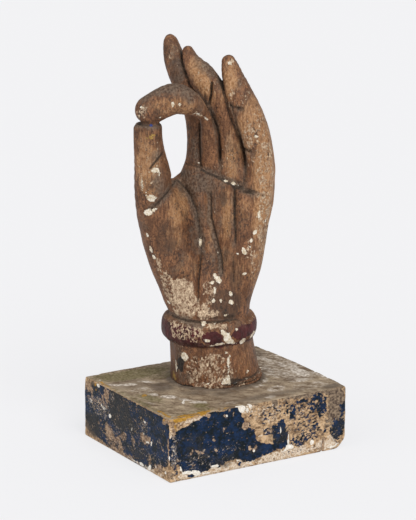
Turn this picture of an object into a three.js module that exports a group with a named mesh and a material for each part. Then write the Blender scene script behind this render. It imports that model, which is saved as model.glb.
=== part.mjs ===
import * as THREE from 'three';

// A carved wooden hand on its timber block. Millimetres, +Z up, the block's wide face towards -Y.
// The hand is described in its own axes: x across the palm, y from palm (-) to back (+), z up from the block.

const BLOCK_WIDTH = 207.4;
const BLOCK_DEPTH = 168.4;
const BLOCK_HEIGHT = 63;
const BLOCK_EDGE = 2.4;
const BLOCK_WORN_FOOT = 8;
const BLOCK_LEFT_FOOT = 4;
// The right end bows out in the middle and leans out towards the top; the other two seen sides lean in.
const BLOCK_BOW = 3.6;
const LEFT_BATTER = 0.6;
const RIGHT_LEAN = 1.8;
const FRONT_BATTER = 2.4;

const HAND_AT = [6.5, 11.9];
const HAND_TURN = THREE.MathUtils.degToRad(-38);
const SEAT_GAP = 0.3;

// Wrist stub and palm, one log: height, centre x, centre y, half width, half depth.
const LOG = [
  [0, 0, 0, 45, 43],
  [25, -2.8, 0, 42.3, 41],
  [45, -5, 0, 41, 39.5],
  [70, -5.6, 0, 39.4, 35],
  [98, -7.4, 1.5, 42.1, 31],
  [120, -6.9, 3.5, 45.1, 28.5],
  [145, -3.4, 5.5, 49.8, 26.5],
  [170, 1.2, 6.5, 52.2, 24.5],
  [205, 9.2, 6, 45.2, 19.5],
  [222, 13.5, 4.5, 37, 15],
];
const LOG_SQUARENESS = 2.4;
const LOG_TOP = 221;

// Hewn flats of the stub, below its ring: the way each looks in degrees round from the palm, how far out it is.
// They stop short of its foot, where a low lip is left standing.
const STUB_FLATS = [[-12, 42.2], [36, 42.8], [88, 43.2], [140, 41.6], [190, 41.8], [238, 43], [292, 44.2]];
const STUB_TOP = 46;
const STUB_LIP = { height: 8, radius: 46, round: 0.98 };

const BANGLE = { x: -6.5, z: 54, radius: 35.5, section: 12, flatten: 0.88, round: 0.96, squareness: 2.6 };

// Thumb mound, thumb and fingers: x, y, z and radius at each joint of the carving.
const THUMB_MOUND = [
  [-30, -5, 92, 22],
  [-38, -9, 118, 25],
  [-45.5, -12, 145, 25.5],
  [-50, -16, 170, 24],
];
const THUMB = [
  [-47, -16, 148, 20],
  [-53, -21, 172, 21.5],
  [-56.5, -29, 200, 18.8],
  [-59, -36, 226, 15.5],
  [-60.3, -41, 246, 13.9],
  [-60.6, -42, 264, 13.5],
];
const THUMB_TOP = 263;
const THUMB_WEB = [
  [-47, -20, 192.5, 10],
  [-38.5, -8, 195, 9.5],
  [-30, 1, 194.5, 10],
];
const INDEX = [
  [-18, 5, 175, 12],
  [-19, 4, 205, 12.2],
  [-18, 7, 238, 10.6],
  [-21.5, 10, 265, 11],
  [-33, 15, 293, 11.6],
  [-42.5, 21, 315, 10.3],
  [-46.5, 25, 328, 7.8],
  [-47.5, 26, 333, 5.5],
];
const SECOND = [
  [-3, 5, 170, 10.5],
  [-5, 0, 205, 9.8],
  [-4.9, -4, 230, 9.4],
  [-5, -8, 245, 8.8],
  [-6.5, -12.5, 258, 7.4],
  [-9.5, -18.5, 267.5, 6.4],
  [-16, -25.5, 276.4, 9],
  [-24.5, -32.5, 282.6, 12.8],
  [-35, -37.5, 286.2, 14.6],
  [-46, -41, 282.8, 14.8],
  [-58.3, -43.5, 276, 14],
];
const RING_FINGER = [
  [18, 5, 170, 11],
  [16.8, 3.5, 212, 12],
  [16.4, 4, 229, 12.2],
  [13.2, 4, 244, 11.4],
  [8.2, 4, 257, 10.8],
  [2.6, 4.5, 270, 11.8],
  [-4, 5.5, 286, 12.8],
  [-13.5, 7, 300, 12.6],
  [-24.6, 10, 315, 8],
  [-28.8, 13, 324, 5.2],
];
const LITTLE = [
  [34, 3, 150, 10],
  [42, -1, 180, 12.4],
  [43.6, -2.6, 204, 12.9],
  [43.6, -4, 222, 13.4],
  [38.6, -2, 246, 14.2],
  [31, 0, 265, 14.5],
  [21.5, 3, 287, 12.4],
  [14.9, 8, 303, 9.8],
  [11.2, 11, 315, 6.4],
];
// How squarely each is cut in section: 2 would be round.
const ROUNDED = 2.4;
const SQUARED = { thumb: 3.2, second: 3, ringFinger: 3.4, little: 3.2 };

const HEEL = { at: [27.5, -7, 141], radii: [19.5, 21, 50] };
const HOLLOW = { at: [-2, -38, 175], radii: [18, 20, 44] };

// Broad carved creases of the palm: path in x and z, depth, half width and how far back they reach in y.
const CREASES = [
  { path: [[-38, 201], [-48, 189], [-58, 178]], depth: 2.5, width: 5, reach: -8 },
  { path: [[-37, 198], [-22.5, 183], [-16.5, 170], [-14.5, 156], [-14, 124]], depth: 3.2, width: 5, reach: 0 },
  { path: [[-4, 190], [-3.5, 170], [-1, 153], [3, 135], [7, 110]], depth: 2, width: 5, reach: 0 },
  { path: [[19.5, 191], [20, 174], [21.5, 146]], depth: 1.5, width: 5, reach: 0 },
  { path: [[-2, 205], [6, 201], [21, 197]], depth: 1.8, width: 4, reach: 2 },
];

// Facet size of the carved surface, and the space it is looked for in.
const CELL = [5, 5, 6.8];
const LOW = [-84, -67, -CELL[2] / 2];
const CELLS = [32, 24, 52];
const SMOOTHING_ROUNDS = 5;

function smoothMin(a, b, blend) {
  const h = Math.min(Math.max(0.5 + (0.5 * (b - a)) / blend, 0), 1);
  return b + (a - b) * h - blend * h * (1 - h);
}

function smoothMax(a, b, blend) {
  return -smoothMin(-a, -b, blend);
}

// Smooth curve through rows of numbers, cut into the given number of steps between rows.
function throughRows(rows, steps) {
  const count = rows.length;
  const mirrored = (end, inner) => end.map((value, i) => 2 * value - inner[i]);
  const all = [mirrored(rows[0], rows[1]), ...rows, mirrored(rows[count - 1], rows[count - 2])];
  const out = [];
  for (let span = 0; span < count - 1; span += 1) {
    const [before, from, to, after] = all.slice(span, span + 4);
    for (let step = 0; step < steps; step += 1) {
      const t = step / steps;
      out.push(from.map((value, i) => {
        const slope = to[i] - before[i];
        const bend = 2 * before[i] - 5 * value + 4 * to[i] - after[i];
        const twist = 3 * value - before[i] - 3 * to[i] + after[i];
        return 0.5 * (2 * value + slope * t + bend * t * t + twist * t * t * t);
      }));
    }
  }
  out.push(rows[count - 1]);
  return out;
}

// Tapered limb with softly squared sections; depth is its front-to-back size over its width.
function limb(joints, depth, p = ROUNDED) {
  const rows = throughRows(joints, 3);
  const room = new THREE.Box3().setFromPoints(rows.map(([x, y, z]) => new THREE.Vector3(x, y, z)));
  const thickest = depth * Math.max(...rows.map((row) => row[3]));
  const point = new THREE.Vector3();
  return (x, y, z) => {
    const away = room.distanceToPoint(point.set(x, y, z)) - thickest;
    if (away > 20) {
      return away;
    }
    let best = Infinity;
    for (let i = 1; i < rows.length; i += 1) {
      const [ax, ay, az, ar] = rows[i - 1];
      const [bx, by, bz, br] = rows[i];
      const dx = bx - ax;
      const dy = by - ay;
      const dz = bz - az;
      const along = ((x - ax) * dx + (y - ay) * dy + (z - az) * dz) / (dx * dx + dy * dy + dz * dz);
      const t = Math.min(Math.max(along, 0), 1);
      const qx = Math.abs(x - ax - t * dx);
      const qy = Math.abs(y - ay - t * dy) / depth;
      const across = (qx ** p + qy ** p) ** (1 / p);
      const radius = ar + t * (br - ar);
      best = Math.min(best, Math.hypot(across, z - az - t * dz) - radius);
    }
    return best;
  };
}

// Upright log with superellipse sections.
function log(table) {
  const rows = throughRows(table, 6);
  const p = LOG_SQUARENESS;
  return (x, y, z) => {
    let i = 1;
    while (i < rows.length - 1 && rows[i][0] < z) {
      i += 1;
    }
    const t = Math.min(Math.max((z - rows[i - 1][0]) / (rows[i][0] - rows[i - 1][0]), 0), 1);
    const [, cx, cy, a, b] = rows[i].map((value, n) => rows[i - 1][n] + t * (value - rows[i - 1][n]));
    const u = Math.abs(x - cx) / a;
    const v = Math.abs(y - cy) / b;
    return ((u ** p + v ** p) ** (1 / p) - 1) * Math.min(a, b);
  };
}

function egg({ at, radii }, x, y, z) {
  const size = Math.hypot((x - at[0]) / radii[0], (y - at[1]) / radii[1], (z - at[2]) / radii[2]);
  return (size - 1) * Math.min(...radii);
}

function creaseDepth(crease, x, y, z) {
  let best = Infinity;
  for (let i = 1; i < crease.path.length; i += 1) {
    const [ax, az] = crease.path[i - 1];
    const dx = crease.path[i][0] - ax;
    const dz = crease.path[i][1] - az;
    const along = ((x - ax) * dx + (z - az) * dz) / (dx * dx + dz * dz);
    const t = Math.min(Math.max(along, 0), 1);
    best = Math.min(best, Math.hypot(x - ax - t * dx, z - az - t * dz));
  }
  const fade = Math.min(Math.max((crease.reach - y) / 4 + 0.5, 0), 1);
  return crease.depth * Math.exp(-((best / crease.width) ** 2)) * fade;
}

const logShape = log(LOG);
const mound = limb(THUMB_MOUND, 0.95);
const thumb = limb(THUMB, 0.95, SQUARED.thumb);
const web = limb(THUMB_WEB, 1);
const index = limb(INDEX, 1.1);
const second = limb(SECOND, 1, SQUARED.second);
const ringFinger = limb(RING_FINGER, 1.08, SQUARED.ringFinger);
const little = limb(LITTLE, 1.1, SQUARED.little);

function bangle(x, y, z) {
  const p = BANGLE.squareness;
  const out = Math.abs(Math.hypot(x - BANGLE.x, y / BANGLE.round) - BANGLE.radius);
  const up = Math.abs(z - BANGLE.z) * BANGLE.flatten;
  return (out ** p + up ** p) ** (1 / p) - BANGLE.section;
}

// Signed distance to the hand's surface, below zero in the wood.
function handField(x, y, z) {
  let d = smoothMax(logShape(x, y, z), z - LOG_TOP, 12);
  if (z < STUB_TOP) {
    STUB_FLATS.forEach(([degrees, out]) => {
      const angle = THREE.MathUtils.degToRad(degrees);
      d = smoothMax(d, x * Math.sin(angle) - y * Math.cos(angle) - out, 2);
    });
    const lip = Math.hypot(x, y / STUB_LIP.round) - STUB_LIP.radius;
    d = smoothMin(d, smoothMax(lip, z - STUB_LIP.height, 2), 1.5);
  }
  d = smoothMin(d, mound(x, y, z), 12);
  d = smoothMin(d, egg(HEEL, x, y, z), 12);
  d = smoothMax(d, -egg(HOLLOW, x, y, z), 14);
  let fingers = smoothMin(index(x, y, z), ringFinger(x, y, z), 4);
  fingers = smoothMin(fingers, little(x, y, z), 4);
  fingers = smoothMin(fingers, second(x, y, z), 3);
  d = smoothMin(d, fingers, 6);
  d = smoothMin(d, smoothMax(thumb(x, y, z), z - THUMB_TOP, 5), 4);
  d = smoothMin(d, web(x, y, z), 4);
  d = smoothMin(d, bangle(x, y, z), 0.6);
  CREASES.forEach((crease) => {
    d += creaseDepth(crease, x, y, z);
  });
  return d;
}

// The eight corners of a cell, and the pairs of them that share an edge.
const CORNERS = [[0, 0, 0], [1, 0, 0], [0, 1, 0], [1, 1, 0], [0, 0, 1], [1, 0, 1], [0, 1, 1], [1, 1, 1]];
const EDGES = [[0, 1], [2, 3], [4, 5], [6, 7], [0, 2], [1, 3], [4, 6], [5, 7], [0, 4], [1, 5], [2, 6], [3, 7]];

const [NX, NY, NZ] = CELLS;
const nodeAt = (i, j, k) => (k * (NY + 1) + j) * (NX + 1) + i;
const cellAt = (i, j, k) => (k * NY + j) * NX + i;

function eachCell(visit) {
  for (let k = 0; k < NZ; k += 1) {
    for (let j = 0; j < NY; j += 1) {
      for (let i = 0; i < NX; i += 1) {
        visit(i, j, k, CORNERS.map(([a, b, c]) => nodeAt(i + a, j + b, k + c)));
      }
    }
  }
}

// How many separate groups the corners on one side of the surface form.
function groups(inside) {
  const label = inside.map((on, i) => (on ? i : -1));
  for (let round = 0; round < 4; round += 1) {
    EDGES.forEach(([a, b]) => {
      if (inside[a] && inside[b]) {
        const low = Math.min(label[a], label[b]);
        label[a] = low;
        label[b] = low;
      }
    });
  }
  return new Set(label.filter((value) => value >= 0)).size;
}

// Wood closes over slits thinner than a facet, so that the surface passes each cell only once.
function closeSlits(values) {
  for (let changed = true; changed;) {
    changed = false;
    eachCell((i, j, k, nodes) => {
      const inside = nodes.map((node) => values[node] < 0);
      const outside = inside.map((on) => !on);
      if (groups(inside) > 1 || groups(outside) > 1) {
        const open = nodes.filter((node) => values[node] >= 0);
        const nearest = open.reduce((a, b) => (values[a] < values[b] ? a : b));
        values[nearest] = -0.3;
        changed = true;
      }
    });
  }
}

function slope(x, y, z) {
  const h = 0.4;
  return [
    (handField(x + h, y, z) - handField(x - h, y, z)) / (2 * h),
    (handField(x, y + h, z) - handField(x, y - h, z)) / (2 * h),
    (handField(x, y, z + h) - handField(x, y, z - h)) / (2 * h),
  ];
}

// Moves a point onto the surface; points of the flat underside stay at height zero.
function settle(point) {
  if (point.kind === 'underside') {
    point.at[2] = 0;
    return;
  }
  if (point.kind === 'rim') {
    point.at[2] = 0;
  }
  for (let round = 0; round < 2; round += 1) {
    const d = handField(...point.at);
    const g = slope(...point.at);
    if (point.kind === 'rim') {
      g[2] = 0;
    }
    const steep = Math.max(g[0] ** 2 + g[1] ** 2 + g[2] ** 2, 0.2);
    const step = Math.min(Math.max(d / steep, -1.5), 1.5);
    point.at = point.at.map((value, n) => value - step * g[n]);
  }
}

function handSurface() {
  const values = new Float64Array((NX + 1) * (NY + 1) * (NZ + 1));
  for (let k = 0; k <= NZ; k += 1) {
    for (let j = 0; j <= NY; j += 1) {
      for (let i = 0; i <= NX; i += 1) {
        const x = LOW[0] + i * CELL[0];
        const y = LOW[1] + j * CELL[1];
        const z = LOW[2] + k * CELL[2];
        values[nodeAt(i, j, k)] = k === 0 ? CELL[2] / 2 : handField(x, y, z);
      }
    }
  }
  closeSlits(values);

  const pointOf = new Map();
  const points = [];
  eachCell((i, j, k, nodes) => {
    const crossings = EDGES.filter(([a, b]) => values[nodes[a]] < 0 !== values[nodes[b]] < 0);
    if (crossings.length === 0) {
      return;
    }
    const at = [0, 0, 0];
    crossings.forEach(([a, b]) => {
      const t = values[nodes[a]] / (values[nodes[a]] - values[nodes[b]]);
      [i, j, k].forEach((cell, n) => {
        const step = CORNERS[a][n] + t * (CORNERS[b][n] - CORNERS[a][n]);
        at[n] += (LOW[n] + (cell + step) * CELL[n]) / crossings.length;
      });
    });
    let kind = 'side';
    if (k === 0) {
      kind = nodes.slice(4).every((node) => values[node] < 0) ? 'underside' : 'rim';
    }
    pointOf.set(cellAt(i, j, k), points.length);
    points.push({ at, kind, near: new Set() });
  });

  // One four-sided facet for each grid edge that the surface crosses.
  const facets = [];
  const around = [[1, 2], [2, 0], [0, 1]];
  for (let k = 1; k < NZ; k += 1) {
    for (let j = 1; j < NY; j += 1) {
      for (let i = 1; i < NX; i += 1) {
        around.forEach(([u, v], axis) => {
          const ahead = [i, j, k];
          ahead[axis] += 1;
          const here = values[nodeAt(i, j, k)] < 0;
          if (here === values[nodeAt(...ahead)] < 0) {
            return;
          }
          const ring = [[-1, -1], [0, -1], [0, 0], [-1, 0]].map(([a, b]) => {
            const cell = [i, j, k];
            cell[u] += a;
            cell[v] += b;
            return pointOf.get(cellAt(...cell));
          });
          facets.push(here ? ring : ring.reverse());
        });
      }
    }
  }
  // Grid edges that stand between the underside's cells and the first layer above.
  for (let j = 1; j < NY; j += 1) {
    for (let i = 1; i < NX; i += 1) {
      if (values[nodeAt(i, j, 1)] < 0) {
        const ring = [[-1, -1], [-1, 0], [0, 0], [0, -1]];
        facets.push(ring.map(([a, b]) => pointOf.get(cellAt(i + a, j + b, 0))));
      }
    }
  }

  facets.forEach((ring) => {
    ring.forEach((id, n) => {
      points[id].near.add(ring[(n + 1) % 4]);
      points[id].near.add(ring[(n + 3) % 4]);
    });
  });
  for (let round = 0; round < SMOOTHING_ROUNDS; round += 1) {
    const middles = points.map((point) => {
      let near = [...point.near].map((id) => points[id]);
      if (point.kind === 'rim') {
        near = near.filter((other) => other.kind === 'rim');
      }
      return [0, 1, 2].map((n) => near.reduce((sum, other) => sum + other.at[n], 0) / near.length);
    });
    points.forEach((point, id) => {
      point.at = point.at.map((value, n) => value + 0.5 * (middles[id][n] - value));
      settle(point);
    });
  }

  const positions = [];
  const far = (a, b) => Math.hypot(...points[a].at.map((value, n) => value - points[b].at[n]));
  facets.forEach(([a, b, c, d]) => {
    const split = far(a, c) < far(b, d) ? [a, b, c, a, c, d] : [a, b, d, b, c, d];
    split.forEach((id) => positions.push(...points[id].at));
  });
  const geometry = new THREE.BufferGeometry();
  geometry.setAttribute('position', new THREE.Float32BufferAttribute(positions, 3));
  geometry.computeVertexNormals();
  return geometry;
}

// The block's wide face as an outline, drawn back through its depth with rounded edges.
function blockSolid() {
  const left = -BLOCK_WIDTH / 2 + BLOCK_EDGE;
  const right = BLOCK_WIDTH / 2 - BLOCK_EDGE;
  const foot = BLOCK_EDGE;
  const top = BLOCK_HEIGHT - BLOCK_EDGE;
  const outline = new THREE.Shape();
  outline.moveTo(left, top);
  outline.lineTo(left, foot + BLOCK_LEFT_FOOT);
  outline.quadraticCurveTo(left, foot, left + BLOCK_LEFT_FOOT, foot);
  outline.lineTo(right - BLOCK_WORN_FOOT, foot);
  outline.quadraticCurveTo(right, foot, right, foot + BLOCK_WORN_FOOT);
  outline.lineTo(right, top);
  const solid = new THREE.ExtrudeGeometry(outline, {
    depth: BLOCK_DEPTH - 2 * BLOCK_EDGE,
    bevelEnabled: true,
    bevelThickness: BLOCK_EDGE,
    bevelSize: BLOCK_EDGE,
    bevelSegments: 3,
    curveSegments: 4,
    steps: 6,
  });
  solid.rotateX(Math.PI / 2);
  solid.translate(0, BLOCK_DEPTH / 2 - BLOCK_EDGE, 0);
  const corner = solid.attributes.position;
  for (let i = 0; i < corner.count; i += 1) {
    const x = corner.getX(i);
    const y = corner.getY(i);
    const rise = corner.getZ(i) / BLOCK_HEIGHT;
    const bow = BLOCK_BOW * (1 - Math.cos((((y - 8) / 92) * Math.PI) / 2));
    corner.setX(i, x > 0 ? x - bow - RIGHT_LEAN * (1 - rise) : x + LEFT_BATTER * rise);
    corner.setY(i, y > 0 ? y : y * (1 - (FRONT_BATTER * rise) / (BLOCK_DEPTH / 2)));
  }
  solid.computeVertexNormals();
  return solid;
}

const hand = new THREE.Mesh(
  handSurface(),
  new THREE.MeshStandardMaterial({ color: '#7d5c40', roughness: 0.8, metalness: 0 }),
);
hand.name = 'hand';
hand.geometry.rotateZ(HAND_TURN);
hand.geometry.translate(HAND_AT[0], HAND_AT[1], BLOCK_HEIGHT + SEAT_GAP);

const plinth = new THREE.Mesh(
  blockSolid(),
  new THREE.MeshStandardMaterial({ color: '#4a5470', roughness: 0.85, metalness: 0 }),
);
plinth.name = 'plinth';

const carvedHand = new THREE.Group();
carvedHand.name = 'carved_wooden_hand';
carvedHand.add(hand);
carvedHand.add(plinth);

export default carvedHand;
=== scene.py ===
import math

import bpy
import numpy as np
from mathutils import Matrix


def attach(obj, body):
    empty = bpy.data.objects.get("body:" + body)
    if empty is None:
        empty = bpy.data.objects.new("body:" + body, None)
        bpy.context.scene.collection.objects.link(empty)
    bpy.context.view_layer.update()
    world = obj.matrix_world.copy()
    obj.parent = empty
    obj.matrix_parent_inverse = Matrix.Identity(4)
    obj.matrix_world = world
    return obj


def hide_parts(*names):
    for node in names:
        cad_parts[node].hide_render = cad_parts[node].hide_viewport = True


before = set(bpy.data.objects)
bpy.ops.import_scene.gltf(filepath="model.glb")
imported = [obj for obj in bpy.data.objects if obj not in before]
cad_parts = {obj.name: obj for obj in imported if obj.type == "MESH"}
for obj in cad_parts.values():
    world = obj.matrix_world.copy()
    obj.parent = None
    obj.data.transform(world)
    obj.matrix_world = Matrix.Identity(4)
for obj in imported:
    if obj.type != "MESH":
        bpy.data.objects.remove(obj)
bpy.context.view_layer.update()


# The hand: one log of dense tropical hardwood, carved with gouges and a knife, with its stub and bangle.
# It was rubbed smooth, gessoed and painted, and nearly all of that has worn back to dirty brown wood.
# Its own axes, in mm: x across the palm, y from palm (-) to back (+), z up from the block it stands on.

HAND_PLACE_MM = (6.5, 11.9, 63.0)
HAND_TURN = math.radians(-38)
# how far the skin is looked for, and how fine its facets are
HAND_REACH_MM = [(-84, -66, -4), (76, 52, 346)]
HAND_CELL_MM = (1.15, 1.15, 1.5)
# how far the fine surface stays inside the plain solid, so that its tool marks don't stand out past it
HAND_INSET_MM = 0.2
TOOL_MARK_MM, FIBRE_MM = 0.45, 0.2
THUMB_CUT_MM, PALM_STEP_MM = 2.8, 2.8
STUB_LIP_RADIUS_MM, STUB_LIP_HEIGHT_MM, STUB_TOP_MM = 45, 6.5, 46
# the bangle: its height, where it is centred across, the radius of its midline and half its thickness
BANGLE_UP_MM, BANGLE_ACROSS_MM, BANGLE_MIDLINE_MM, BANGLE_HALF_MM = 54, -6.5, 35.5, 12
# heights of the groove above the bangle, of the end of the palm and of the thumb's flattened tip
GROOVE_UP_MM, PALM_END_MM, THUMB_END_MM = 69, 221, 263
# centre and half sizes
LITTLE_FINGER_MOUND = [(27.5, -7, 141), (19.5, 21, 50)]
PALM_HOLLOW = [(-2, -38, 175), (18, 20, 44)]

# height, centre x, centre y, half width, half depth
WRIST_AND_PALM = [
    (0, 0, 0, 45, 43), (25, -2.8, 0, 42.3, 41), (45, -5, 0, 41, 39.5), (70, -5.6, 0, 39.4, 35),
    (98, -7.4, 1.5, 42.1, 31), (120, -6.9, 3.5, 45.1, 28.5), (145, -3.4, 5.5, 49.8, 26.5),
    (170, 1.2, 6.5, 52.2, 24.5), (205, 9.2, 6, 45.2, 19.5), (222, 13.5, 4.5, 37, 15),
]
# the stub's hewn flats: which way each looks, in degrees round from the palm side, and how far out it lies
WRIST_FLATS = [(-12, 42.2), (36, 42.8), (88, 43.2), (140, 41.6), (190, 41.8), (238, 43), (292, 44.2)]
# x, y, z and radius along each rounded form
THUMB_MOUND = [(-30, -5, 92, 22), (-38, -9, 118, 25), (-45.5, -12, 145, 25.5), (-50, -16, 170, 24)]
THUMB = [
    (-47, -16, 148, 20), (-53, -21, 172, 21.5), (-56.5, -29, 200, 18.8), (-59, -36, 226, 15.5),
    (-60.3, -41, 246, 13.9), (-60.6, -42, 264, 13.5),
]
THUMB_WEB = [(-47, -20, 192.5, 10), (-38.5, -8, 195, 9.5), (-30, 1, 194.5, 10)]
FIRST_FINGER = [
    (-18, 5, 175, 12), (-19, 4, 205, 12.2), (-18, 7, 238, 10.6), (-21.5, 10, 265, 11), (-33, 15, 293, 11.6),
    (-42.5, 21, 315, 10.3), (-46.5, 25, 328, 7.8), (-47.5, 26, 333, 5.5),
]
SECOND_FINGER = [
    (-3, 5, 170, 10.5), (-5, 0, 205, 9.8), (-4.9, -4, 230, 9.4), (-5, -8, 245, 8.8),
    (-6.5, -12.5, 258, 7.4), (-9.5, -18.5, 267.5, 6.4), (-16, -25.5, 276.4, 9), (-24.5, -32.5, 282.6, 12.8),
    (-35, -37.5, 286.2, 14.6), (-46, -41, 282.8, 14.8), (-58.3, -43.5, 276, 14),
]
THIRD_FINGER = [
    (18, 5, 170, 11), (16.8, 3.5, 212, 12), (16.4, 4, 229, 12.2), (13.2, 4, 244, 11.4), (8.2, 4, 257, 10.8),
    (2.6, 4.5, 270, 11.8), (-4, 5.5, 286, 12.8), (-13.5, 7, 300, 12.6), (-24.6, 10, 315, 8),
    (-28.8, 13, 324, 5.2),
]
LITTLE_FINGER = [
    (34, 3, 150, 10), (42, -1, 180, 12.4), (43.6, -2.6, 204, 12.9), (43.6, -4, 222, 13.4),
    (38.6, -2, 246, 14.2), (31, 0, 265, 14.5), (21.5, 3, 287, 12.4), (14.9, 8, 303, 9.8),
    (11.2, 11, 315, 6.4),
]
# carved lines of the palm: path in x and z, depth, half width, furthest back they reach in y
THUMB_CREASE = [(-38, 201), (-43, 194), (-48, 189), (-54, 182), (-58, 178)]
MOUND_LINE = [(-38, 202), (-33.6, 198.5), (-23.5, 185.7), (-17.5, 171), (-15.1, 157), (-12.1, 133)]
WRIST_CRACK = [(-12.1, 133), (-13.8, 108), (-14.3, 85)]
MIDDLE_LINE = [(-5.6, 190), (-5, 165), (1.2, 142.7), (6.2, 127.3), (7.4, 111.3)]
OUTER_LINE = [(20, 196), (20.4, 174), (22, 152), (22, 144)]
LITTLE_LINE = [(29.8, 194), (35, 193), (42, 190.5)]
FIRST_GAP = [(-13.7, 263), (-15.2, 245), (-15, 234), (-14.2, 220), (-13.4, 211)]
SECOND_GAP = [(-4.8, 272), (2.3, 252), (3.6, 244), (4, 231), (5.4, 217), (5.8, 204)]
THIRD_GAP = [(14.7, 279), (19.8, 264), (24.7, 246), (29.6, 227), (30.1, 207), (28, 198)]
THIRD_CRACK = [(-3.2, 297), (-3.6, 287), (-5.4, 276)]
PALM_LINES = [
    (THUMB_CREASE, 1.8, 6, -8), (THUMB_CREASE, 2.2, 1.5, -8), (MOUND_LINE, 3, 4.6, 0),
    (MOUND_LINE, 1, 1.4, 0), (WRIST_CRACK, 1, 3.5, 0), (WRIST_CRACK, 1.8, 1.2, 0), (MIDDLE_LINE, 1, 6, 0),
    (MIDDLE_LINE, 2.6, 2.6, 0), (OUTER_LINE, 1.2, 6, 0), (OUTER_LINE, 2, 1.3, 0),
    (LITTLE_LINE, 2.6, 1.6, 0), (FIRST_GAP, 1.4, 1.2, 2), (SECOND_GAP, 1, 1.1, -2), (THIRD_GAP, 1, 1.1, -2),
    (THIRD_CRACK, 4, 1.1, 0), ([(17, 274.6), (27, 273.6)], 2.8, 1.4, 0),
    ([(26, 233.8), (39, 232.4)], 2.8, 1.4, 0), ([(19, 130), (20, 104)], 0.9, 1.2, 0),
    ([(-60, 150), (-36, 152)], 0.6, 1, 0),
]
# height of the step where the palm stops under the fingers, by x
PALM_TOP = [
    (-37, 213), (-29, 215.5), (-14, 213.5), (-7, 209.5), (0, 207.5), (6, 204), (12, 200.3), (21, 198),
    (28, 197),
]


def unit(value):
    """Keeps a value from 0 to 1."""
    return np.clip(value, 0, 1)


def smooth_min(a, b, blend):
    """Joins two solids, given by their distances, with a hollow as wide as blend between them."""
    h = unit(0.5 + 0.5 * (b - a) / blend)
    return b + (a - b) * h - blend * h * (1 - h)


def smooth_max(a, b, blend):
    """Keeps what two solids share, with the edge between them rounded by blend."""
    return -smooth_min(-a, -b, blend)


def curve_through(rows, steps):
    """A smooth curve through rows of numbers, with that many steps between rows."""
    p = np.array(rows, float)
    ends = np.vstack([2 * p[0] - p[1], p, 2 * p[-1] - p[-2]])
    out = []
    for i in range(len(p) - 1):
        a, b, c, d = ends[i:i + 4]
        for t in np.arange(steps) / steps:
            out.append(0.5 * (2 * b + (c - a) * t + (2 * a - 5 * b + 4 * c - d) * t**2
                              + (3 * b - a - 3 * c + d) * t**3))
    return np.array(out + [p[-1]])


def limb(p, joints, depth, square=2.4):
    """Distance to a tapered limb whose section is a little squared; depth is front to back over width."""
    rows = curve_through(joints, 3)
    near = np.all((p > rows[:, :3].min(0) - 40) & (p < rows[:, :3].max(0) + 40), axis=-1)
    out = np.full(len(p), 20.0)
    q = p[near]
    best = np.full(len(q), 1e9)
    for a, b in zip(rows[:-1], rows[1:]):
        along = b[:3] - a[:3]
        t = unit((q - a[:3]) @ along / (along @ along))
        off = np.abs(q - a[:3] - t[:, None] * along) / (1, depth, 1)
        across = (off[:, 0]**square + off[:, 1]**square)**(1 / square)
        best = np.minimum(best, np.hypot(across, off[:, 2]) - a[3] - t * (b[3] - a[3]))
    out[near] = best
    return out


def log_shape(p, table, square=2.4):
    """Distance to an upright log with squared oval sections."""
    rows = curve_through(table, 6)
    cx, cy, a, b = (np.interp(p[:, 2], rows[:, 0], rows[:, i]) for i in (1, 2, 3, 4))
    n = (np.abs((p[:, 0] - cx) / a)**square + np.abs((p[:, 1] - cy) / b)**square)**(1 / square)
    return (n - 1) * np.minimum(a, b)


def egg(p, at, radii):
    """Distance to an egg shape."""
    return (np.linalg.norm((p - at) / radii, axis=1) - 1) * min(radii)


def from_path(x, z, path):
    """Distance in the x, z plane from a bent line."""
    best = np.full(len(x), 1e9)
    path = np.array(path, float)
    for a, b in zip(path[:-1], path[1:]):
        dx, dz = b - a
        t = unit(((x - a[0]) * dx + (z - a[1]) * dz) / (dx * dx + dz * dz))
        best = np.minimum(best, np.hypot(x - a[0] - t * dx, z - a[1] - t * dz))
    return best


def noise(p, size, seed):
    """Smooth noise from -1 to 1 with that size of lump along each axis, in mm."""
    lattice = np.random.default_rng(seed).uniform(-1, 1, (32, 32, 32))
    q = p / size + 1000
    cell = np.floor(q).astype(int)
    t = q - cell
    t = t * t * (3 - 2 * t)
    out = 0
    for corner in np.ndindex(2, 2, 2):
        weight = np.prod([t[:, i] if c else 1 - t[:, i] for i, c in enumerate(corner)], axis=0)
        x, y, z = ((cell + corner) % 32).T
        out = out + weight * lattice[x, y, z]
    return out


def thumb_cut(p):
    """Depth of the slanting knife cut across the thumb, deepest along its upper edge."""
    below = (p[:, 0] + 46) * 0.82 - (p[:, 2] - 237) * 0.57
    front = unit((-30 - p[:, 1]) / 6) * unit((p[:, 0] + 60) / 5) * (p[:, 2] < 245)
    return THUMB_CUT_MM * unit(below / 1.5) * np.exp(-np.maximum(below, 0) / 11) * front


def palm_step(p):
    """Depth of the cut that sets the feet of the fingers back from the top of the palm."""
    above = p[:, 2] - np.interp(p[:, 0], *zip(*PALM_TOP))
    front = unit(-p[:, 1] / 4)
    across = unit((30 - p[:, 0]) / 4) * unit((p[:, 0] + 40) / 8)
    return PALM_STEP_MM * unit(above / 1.4) * np.exp(-np.maximum(above, 0) / 5) * front * across


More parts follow.
